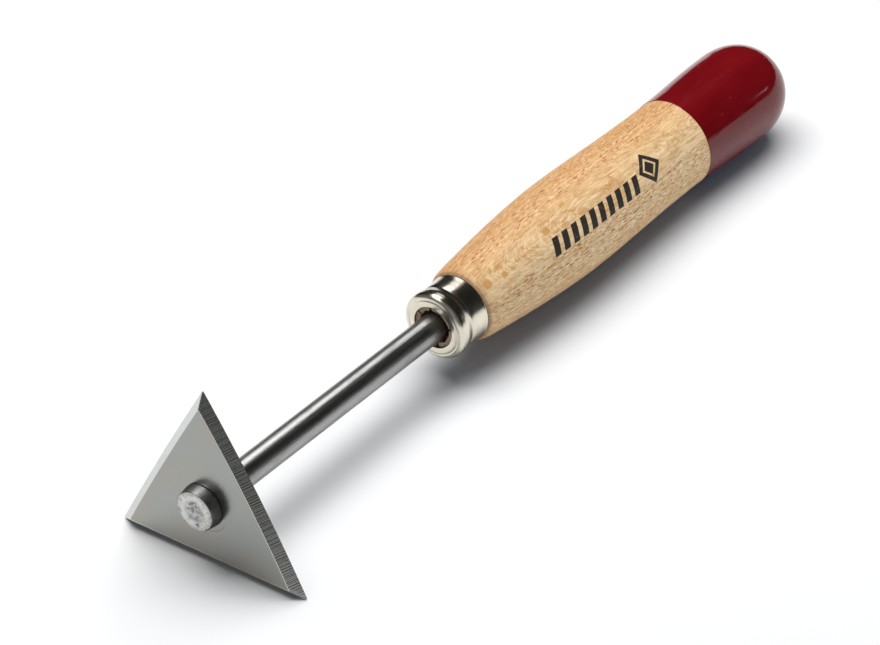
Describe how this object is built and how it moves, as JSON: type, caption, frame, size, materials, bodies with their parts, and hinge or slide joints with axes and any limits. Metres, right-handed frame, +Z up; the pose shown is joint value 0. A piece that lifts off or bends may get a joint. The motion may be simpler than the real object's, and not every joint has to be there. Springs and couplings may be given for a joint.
{
  "type": "triangular scraper",
  "caption": "Triangular pull scraper: bevelled blade riveted to a round shaft, turned wooden handle with a nickel ferrule and a lacquered butt.",
  "frame": {"origin": "bottom centre of the tool's box, on the surface that it lies on", "axes": "+X from the blade to the butt, +Y to the left side seen from behind the blade, +Z up from the surface"},
  "size_m": [0.2556, 0.061, 0.0528],
  "materials": {
    "blade": "satin ground steel with fine grinding lines on the bevels",
    "shaft": "drawn bar, dull polish, with a bright hammered head",
    "ferrule": "polished nickel plate",
    "handle": "waxed beech, satin",
    "butt_lacquer": "dipped lacquer, high gloss"
  },
  "bodies": {
    "root": {"blade": "blade", "shaft": "shaft", "ferrule": "ferrule", "handle": "handle", "butt_lacquer": "butt_lacquer"}
  },
  "joints": []
}
